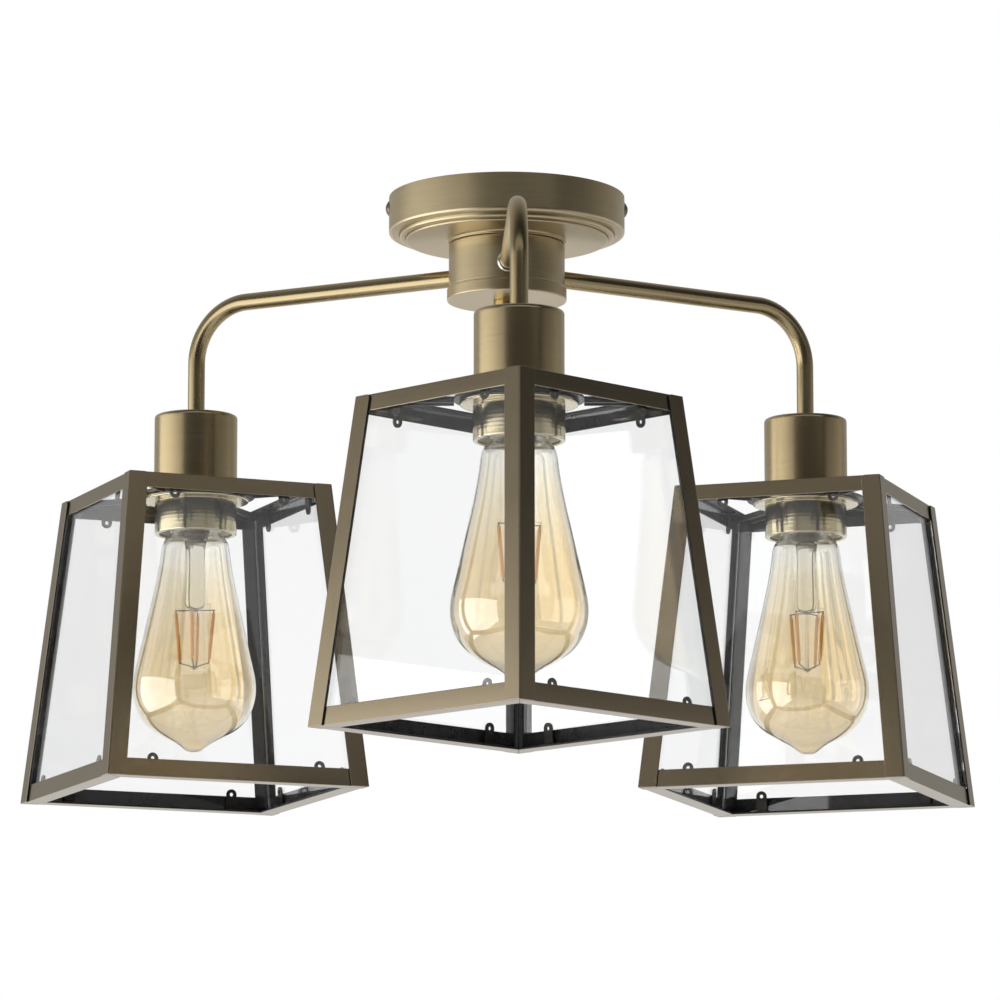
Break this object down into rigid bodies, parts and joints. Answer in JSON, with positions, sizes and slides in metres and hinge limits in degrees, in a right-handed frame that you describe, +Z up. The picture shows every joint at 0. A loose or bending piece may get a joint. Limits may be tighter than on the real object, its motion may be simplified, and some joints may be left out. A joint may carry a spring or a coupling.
{
  "type": "semi flush ceiling light",
  "caption": "Semi-flush ceiling light: round canopy and hub, bent tube arms, tapered glass lanterns open below, teardrop filament bulbs.",
  "frame": {"origin": "centre of the ceiling plane, on the hub's axis, midway between the strap's two slots", "axes": "+Z up into the ceiling, +X along the strap and the light's widest span, front arm along -Y"},
  "size_m": [0.5008, 0.4668, 0.296],
  "materials": {
    "antique_brass": "brushed, darkened",
    "lantern_brass": "brushed outside, black inside",
    "bright_brass": "satin",
    "black_metal": "satin black",
    "zinc_steel": "zinc plated",
    "nickel_plate": "nickel plated",
    "pale_plastic": "moulded",
    "clear_glass": "clear",
    "amber_glass": "gold tinted",
    "filament": "yellow coated sticks"
  },
  "bodies": {
    "fixture": {"ceiling_strap": "zinc_steel", "earth_screw": "bright_brass", "terminal_block": "pale_plastic", "canopy": "antique_brass", "canopy_screws": "antique_brass", "hub_shell": "antique_brass", "hub_cover": "antique_brass", "hub_stem": "zinc_steel", "hub_nuts": "zinc_steel", "finial": "bright_brass", "front_arm": "antique_brass", "front_arm_nut": "zinc_steel", "front_holder_cup": "antique_brass", "front_lampholder": "pale_plastic", "front_socket_contacts": "bright_brass", "right_arm": "antique_brass", "right_arm_nut": "zinc_steel", "right_holder_cup": "antique_brass", "right_lampholder": "pale_plastic", "right_socket_contacts": "bright_brass", "left_arm": "antique_brass", "left_arm_nut": "zinc_steel", "left_holder_cup": "antique_brass", "left_lampholder": "pale_plastic", "left_socket_contacts": "bright_brass"},
    "front_lantern": {"front_posts": "lantern_brass", "front_top_rails": "lantern_brass", "front_bottom_rails": "lantern_brass", "front_glass_panes": "clear_glass", "front_clips": "black_metal", "front_cross": "black_metal"},
    "front_ring": {"front_shade_ring": "antique_brass"},
    "front_bulb": {"front_bulb_glass": "amber_glass", "front_bulb_cap": "nickel_plate", "front_bulb_stem": "clear_glass", "front_filaments": "filament"},
    "right_lantern": {"right_posts": "lantern_brass", "right_top_rails": "lantern_brass", "right_bottom_rails": "lantern_brass", "right_glass_panes": "clear_glass", "right_clips": "black_metal", "right_cross": "black_metal"},
    "right_ring": {"right_shade_ring": "antique_brass"},
    "right_bulb": {"right_bulb_glass": "amber_glass", "right_bulb_cap": "nickel_plate", "right_bulb_stem": "clear_glass", "right_filaments": "filament"},
    "left_lantern": {"left_posts": "lantern_brass", "left_top_rails": "lantern_brass", "left_bottom_rails": "lantern_brass", "left_glass_panes": "clear_glass", "left_clips": "black_metal", "left_cross": "black_metal"},
    "left_ring": {"left_shade_ring": "antique_brass"},
    "left_bulb": {"left_bulb_glass": "amber_glass", "left_bulb_cap": "nickel_plate", "left_bulb_stem": "clear_glass", "left_filaments": "filament"}
  },
  "joints": [
    {"name": "front_lantern_turn", "type": "hinge", "parent": "fixture", "child": "front_lantern", "pos_m": [0, -0.184, -0.14], "axis": [0, 0, 1], "continuous": true},
    {"name": "front_ring_turn", "type": "hinge", "parent": "fixture", "child": "front_ring", "pos_m": [0, -0.184, -0.15], "axis": [0, 0, 1], "continuous": true},
    {"name": "front_bulb_pull", "type": "slide", "parent": "fixture", "child": "front_bulb", "axis": [0, 0, -1], "range_m": [0, 0.17]},
    {"name": "right_lantern_turn", "type": "hinge", "parent": "fixture", "child": "right_lantern", "pos_m": [0.15935, 0.092, -0.14], "axis": [0, 0, 1], "continuous": true},
    {"name": "right_ring_turn", "type": "hinge", "parent": "fixture", "child": "right_ring", "pos_m": [0.15935, 0.092, -0.15], "axis": [0, 0, 1], "continuous": true},
    {"name": "right_bulb_pull", "type": "slide", "parent": "fixture", "child": "right_bulb", "axis": [0, 0, -1], "range_m": [0, 0.17]},
    {"name": "left_lantern_turn", "type": "hinge", "parent": "fixture", "child": "left_lantern", "pos_m": [-0.15935, 0.092, -0.14], "axis": [0, 0, 1], "continuous": true},
    {"name": "left_ring_turn", "type": "hinge", "parent": "fixture", "child": "left_ring", "pos_m": [-0.15935, 0.092, -0.15], "axis": [0, 0, 1], "continuous": true},
    {"name": "left_bulb_pull", "type": "slide", "parent": "fixture", "child": "left_bulb", "axis": [0, 0, -1], "range_m": [0, 0.17]}
  ]
}
